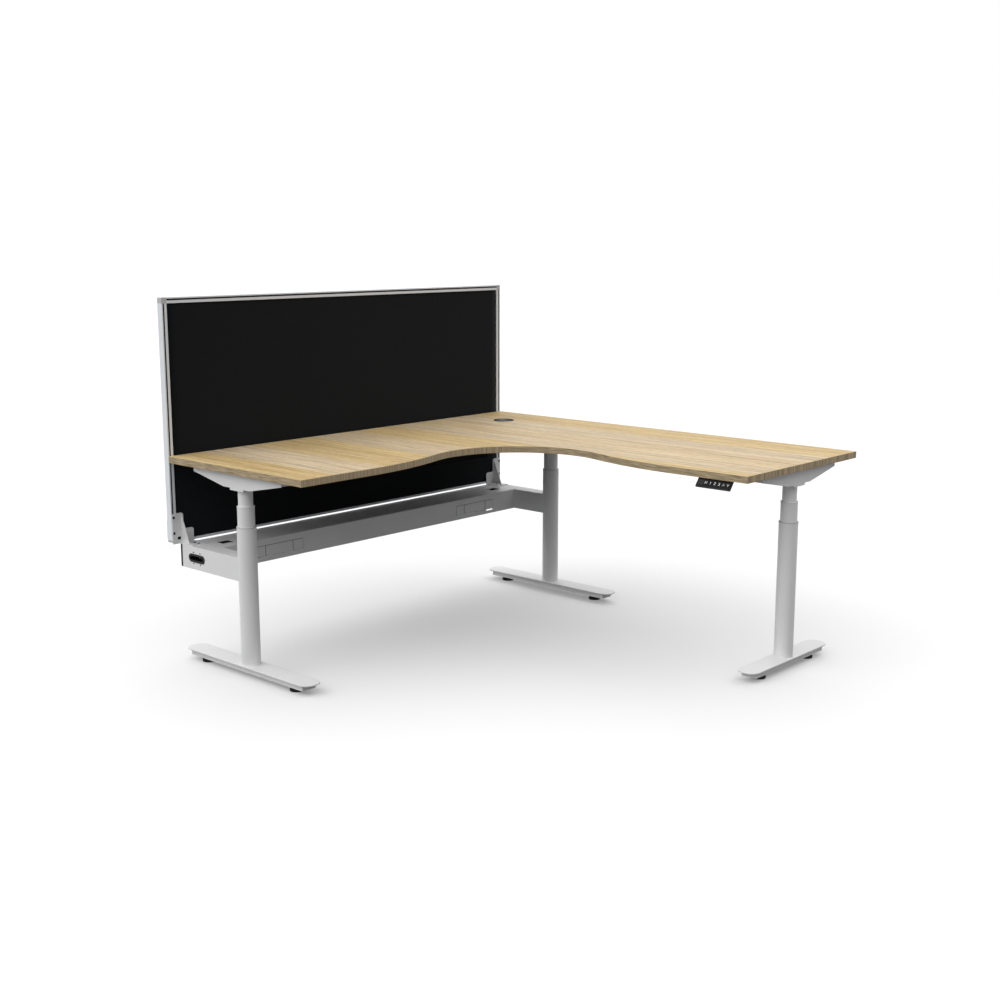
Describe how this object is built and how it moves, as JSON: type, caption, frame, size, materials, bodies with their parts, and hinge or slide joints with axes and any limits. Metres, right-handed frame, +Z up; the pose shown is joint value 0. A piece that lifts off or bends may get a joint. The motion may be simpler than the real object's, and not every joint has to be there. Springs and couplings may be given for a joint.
{
  "type": "cubicle workstation",
  "caption": "Corner sit-stand workstation: L-shaped wood-look desktop on telescopic columns, cable beam between side arms and a framed fabric screen along the back",
  "frame": {"origin": "on the floor, in the middle of the part's footprint", "axes": "+X along the screen towards the corner of the desktop, +Y from the user towards the screen, +Z up"},
  "size_m": [1.8, 1.835, 1.343],
  "materials": {
    "white_steel": "satin powder coat on sheet and tube steel",
    "white_frame": "satin white coat on extruded aluminium",
    "grey_plastic": "moulded, fine matt",
    "black_plastic": "moulded, fine matt",
    "dark_cap": "moulded, satin",
    "dark_window": "polished smoked window",
    "key_rubber": "moulded matt keys with pale marks",
    "oak_laminate": "oak-pattern melamine, fine pores, matt",
    "oak_edge": "matching edge band, matt",
    "screen_board": "raw fibre board",
    "dark_fabric": "close plain weave, stretched",
    "zinc_steel": "zinc plated",
    "black_zinc": "black zinc plated screws",
    "motor_paint": "black enamel"
  },
  "bodies": {
    "frame": {"foot_left": "white_steel", "foot_right": "white_steel", "foot_corner": "white_steel", "column_outer_left": "white_steel", "column_outer_right": "white_steel", "column_outer_corner": "white_steel", "base_posts": "zinc_steel", "glide_collars": "grey_plastic", "side_arm_left": "white_steel", "side_arm_right": "white_steel", "arm_fittings": "black_plastic", "beam": "white_steel", "beam_lid": "white_steel", "knockouts": "white_steel", "frame_screws": "black_zinc", "screen_rail_top": "white_frame", "screen_rail_bottom": "white_frame", "screen_post_left": "white_frame", "screen_post_right": "white_frame", "screen_corners": "grey_plastic", "screen_core": "screen_board", "screen_fabric": "dark_fabric", "bracket_left": "white_steel", "bracket_right": "white_steel", "clamp_plates": "white_steel"},
    "desktop": {"worktop": "oak_laminate", "edge_band": "oak_edge", "support_arm_left": "white_steel", "support_arm_right": "white_steel", "support_arm_corner": "white_steel", "gear_motors": "motor_paint", "column_upper_left": "white_steel", "column_upper_right": "white_steel", "column_upper_corner": "white_steel", "rails": "white_steel", "control_box": "black_plastic", "handset": "black_plastic", "keypad_window": "dark_window", "grommet_ring": "black_plastic", "worktop_screws": "zinc_steel", "drive_nuts": "grey_plastic"},
    "grommet_cap": {"grommet_cap": "dark_cap"},
    "middle_left": {"column_middle_left": "white_steel", "screw_tube_left": "zinc_steel"},
    "middle_right": {"column_middle_right": "white_steel", "screw_tube_right": "zinc_steel"},
    "middle_corner": {"column_middle_corner": "white_steel", "screw_tube_corner": "zinc_steel"},
    "leveller_1": {"leveller_1": "black_plastic"},
    "key_1": {"key_1": "key_rubber"},
    "leveller_2": {"leveller_2": "black_plastic"},
    "key_2": {"key_2": "key_rubber"},
    "leveller_3": {"leveller_3": "black_plastic"},
    "key_3": {"key_3": "key_rubber"},
    "leveller_4": {"leveller_4": "black_plastic"},
    "key_4": {"key_4": "key_rubber"},
    "leveller_5": {"leveller_5": "black_plastic"},
    "key_5": {"key_5": "key_rubber"},
    "leveller_6": {"leveller_6": "black_plastic"},
    "key_6": {"key_6": "key_rubber"}
  },
  "joints": [
    {"name": "desk_lift", "type": "slide", "parent": "frame", "child": "desktop", "axis": [0, 0, 1], "range_m": [-0.105, 0.495]},
    {"name": "middle_slide_left", "type": "slide", "parent": "frame", "child": "middle_left", "axis": [0, 0, 1], "range_m": [-0.0525, 0.2475]},
    {"name": "middle_slide_right", "type": "slide", "parent": "frame", "child": "middle_right", "axis": [0, 0, 1], "range_m": [-0.0525, 0.2475]},
    {"name": "middle_slide_corner", "type": "slide", "parent": "frame", "child": "middle_corner", "axis": [0, 0, 1], "range_m": [-0.0525, 0.2475]},
    {"name": "leveller_turn_1", "type": "hinge", "parent": "frame", "child": "leveller_1", "pos_m": [-0.835, 0.266, 0], "axis": [0, 0, 1], "continuous": true},
    {"name": "leveller_turn_2", "type": "hinge", "parent": "frame", "child": "leveller_2", "pos_m": [-0.835, 0.776, 0], "axis": [0, 0, 1], "continuous": true},
    {"name": "leveller_turn_3", "type": "hinge", "parent": "frame", "child": "leveller_3", "pos_m": [0.835, 0.266, 0], "axis": [0, 0, 1], "continuous": true},
    {"name": "leveller_turn_4", "type": "hinge", "parent": "frame", "child": "leveller_4", "pos_m": [0.835, 0.776, 0], "axis": [0, 0, 1], "continuous": true},
    {"name": "leveller_turn_5", "type": "hinge", "parent": "frame", "child": "leveller_5", "pos_m": [0.3735, -0.8525, 0], "axis": [0, 0, 1], "continuous": true},
    {"name": "leveller_turn_6", "type": "hinge", "parent": "frame", "child": "leveller_6", "pos_m": [0.7035, -0.8525, 0], "axis": [0, 0, 1], "continuous": true},
    {"name": "key_press_1", "type": "slide", "parent": "desktop", "child": "key_1", "axis": [0.7962, 0, -0.6051], "range_m": [0, 0.0008], "stiffness_N_per_m": 600, "springref_m": -0.0004},
    {"name": "key_press_2", "type": "slide", "parent": "desktop", "child": "key_2", "axis": [0.7962, 0, -0.6051], "range_m": [0, 0.0008], "stiffness_N_per_m": 600, "springref_m": -0.0004},
    {"name": "key_press_3", "type": "slide", "parent": "desktop", "child": "key_3", "axis": [0.7962, 0, -0.6051], "range_m": [0, 0.0008], "stiffness_N_per_m": 600, "springref_m": -0.0004},
    {"name": "key_press_4", "type": "slide", "parent": "desktop", "child": "key_4", "axis": [0.7962, 0, -0.6051], "range_m": [0, 0.0008], "stiffness_N_per_m": 600, "springref_m": -0.0004},
    {"name": "key_press_5", "type": "slide", "parent": "desktop", "child": "key_5", "axis": [0.7962, 0, -0.6051], "range_m": [0, 0.0008], "stiffness_N_per_m": 600, "springref_m": -0.0004},
    {"name": "key_press_6", "type": "slide", "parent": "desktop", "child": "key_6", "axis": [0.7962, 0, -0.6051], "range_m": [0, 0.0008], "stiffness_N_per_m": 600, "springref_m": -0.0004},
    {"name": "grommet_turn", "type": "hinge", "parent": "desktop", "child": "grommet_cap", "pos_m": [0.673, 0.6555, 0.769], "axis": [0, 0, 1], "continuous": true}
  ],
  "couplings": [
    {"joint": "middle_slide_left", "follows": "desk_lift", "ratio": 0.5},
    {"joint": "middle_slide_right", "follows": "desk_lift", "ratio": 0.5},
    {"joint": "middle_slide_corner", "follows": "desk_lift", "ratio": 0.5}
  ]
}
